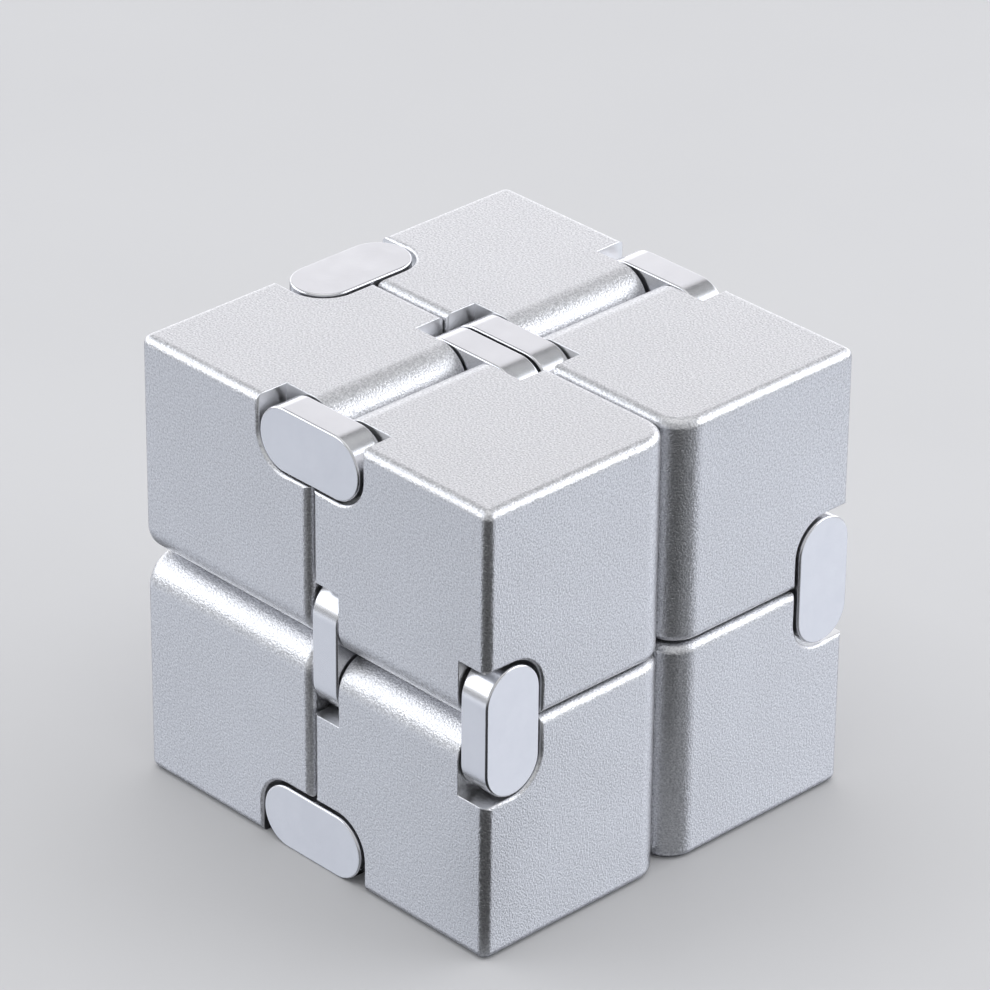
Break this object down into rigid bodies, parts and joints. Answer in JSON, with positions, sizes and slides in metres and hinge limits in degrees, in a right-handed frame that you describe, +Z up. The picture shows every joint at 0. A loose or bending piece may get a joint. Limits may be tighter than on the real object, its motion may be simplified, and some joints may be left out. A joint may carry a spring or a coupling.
{
  "type": "fidget cube",
  "caption": "Metal fidget cube of small hinged blocks in a closed ring, with sunken link plates at the seams, that folds and turns inside out.",
  "frame": {"origin": "under the middle of the closed cube, on the surface that it stands on", "axes": "+Z up; +X to the side where the two blocks one above the other are joined, so the pins of the side hinges run along X there; +Y to the back. The ring of hinges is the same after half a turn about the line along X through the cube's middle."},
  "size_m": [0.0401, 0.0402, 0.04],
  "materials": {
    "blasted_block": "bead-blasted and clear anodised, fine satin grain, bright broken edges",
    "satin_link": "smooth satin faces and polished rims",
    "steel_pin": "ground steel"
  },
  "bodies": {
    "right_front_pair": {"block_top_front_right": "blasted_block", "block_bottom_front_right": "blasted_block", "link_right_front_outer": "satin_link", "link_right_front_inner": "satin_link", "pin_right_front_lower": "steel_pin", "pin_right_front_upper": "steel_pin"},
    "top_front_link": {"link_top_front_outer": "satin_link", "link_top_front_inner": "satin_link", "pin_top_front_left": "steel_pin", "pin_top_front_right": "steel_pin"},
    "top_front_left_block": {"block_top_front_left": "blasted_block"},
    "left_upper_link": {"link_left_upper_outer": "satin_link", "link_left_upper_inner": "satin_link", "pin_left_upper_front": "steel_pin", "pin_left_upper_back": "steel_pin"},
    "top_back_left_block": {"block_top_back_left": "blasted_block"},
    "top_back_link": {"link_top_back_outer": "satin_link", "link_top_back_inner": "satin_link", "pin_top_back_left": "steel_pin", "pin_top_back_right": "steel_pin"},
    "right_back_pair": {"block_top_back_right": "blasted_block", "block_bottom_back_right": "blasted_block", "link_right_back_outer": "satin_link", "link_right_back_inner": "satin_link", "pin_right_back_lower": "steel_pin", "pin_right_back_upper": "steel_pin"},
    "bottom_front_link": {"link_bottom_front_outer": "satin_link", "link_bottom_front_inner": "satin_link", "pin_bottom_front_left": "steel_pin", "pin_bottom_front_right": "steel_pin"},
    "bottom_front_left_block": {"block_bottom_front_left": "blasted_block"},
    "left_lower_link": {"link_left_lower_outer": "satin_link", "link_left_lower_inner": "satin_link", "pin_left_lower_front": "steel_pin", "pin_left_lower_back": "steel_pin"},
    "bottom_back_left_block": {"block_bottom_back_left": "blasted_block"},
    "bottom_back_link": {"link_bottom_back_outer": "satin_link", "link_bottom_back_inner": "satin_link", "pin_bottom_back_left": "steel_pin", "pin_bottom_back_right": "steel_pin"}
  },
  "joints": [
    {"name": "top_link_swing", "type": "hinge", "parent": "right_front_pair", "child": "top_front_link", "pos_m": [0.00292, -0.01, 0.0372], "axis": [0, 1, 0], "range_deg": [0, 90]},
    {"name": "top_left_block_swing", "type": "hinge", "parent": "top_front_link", "child": "top_front_left_block", "pos_m": [-0.00292, -0.01, 0.0372], "axis": [0, 1, 0], "range_deg": [0, 90]},
    {"name": "left_link_swing", "type": "hinge", "parent": "top_front_left_block", "child": "left_upper_link", "pos_m": [-0.0172, -0.00292, 0.03], "axis": [0, 0, 1], "range_deg": [0, 90]},
    {"name": "back_left_block_swing", "type": "hinge", "parent": "left_upper_link", "child": "top_back_left_block", "pos_m": [-0.0172, 0.00292, 0.03], "axis": [0, 0, 1], "range_deg": [0, 90]},
    {"name": "top_back_link_swing", "type": "hinge", "parent": "top_back_left_block", "child": "top_back_link", "pos_m": [-0.00292, 0.01, 0.0372], "axis": [0, -1, 0], "range_deg": [0, 90]},
    {"name": "right_back_pair_swing", "type": "hinge", "parent": "top_back_link", "child": "right_back_pair", "pos_m": [0.00292, 0.01, 0.0372], "axis": [0, -1, 0], "range_deg": [0, 90]},
    {"name": "bottom_link_swing", "type": "hinge", "parent": "right_front_pair", "child": "bottom_front_link", "pos_m": [0.00292, -0.01, 0.0028], "axis": [0, -1, 0], "range_deg": [0, 90]},
    {"name": "bottom_left_block_swing", "type": "hinge", "parent": "bottom_front_link", "child": "bottom_front_left_block", "pos_m": [-0.00292, -0.01, 0.0028], "axis": [0, -1, 0], "range_deg": [0, 90]},
    {"name": "lower_left_link_swing", "type": "hinge", "parent": "bottom_front_left_block", "child": "left_lower_link", "pos_m": [-0.0172, -0.00292, 0.01], "axis": [0, 0, 1], "range_deg": [0, 90]},
    {"name": "bottom_back_block_swing", "type": "hinge", "parent": "left_lower_link", "child": "bottom_back_left_block", "pos_m": [-0.0172, 0.00292, 0.01], "axis": [0, 0, 1], "range_deg": [0, 90]},
    {"name": "bottom_back_link_swing", "type": "hinge", "parent": "bottom_back_left_block", "child": "bottom_back_link", "pos_m": [-0.00292, 0.01, 0.0028], "axis": [0, 1, 0], "range_deg": [0, 90]}
  ],
  "couplings": [
    {"joint": "top_back_link_swing", "follows": "top_left_block_swing", "ratio": 1},
    {"joint": "right_back_pair_swing", "follows": "top_link_swing", "ratio": 1},
    {"joint": "lower_left_link_swing", "follows": "left_link_swing", "ratio": 1},
    {"joint": "bottom_back_block_swing", "follows": "back_left_block_swing", "ratio": 1},
    {"joint": "bottom_back_link_swing", "follows": "bottom_left_block_swing", "ratio": 1}
  ]
}
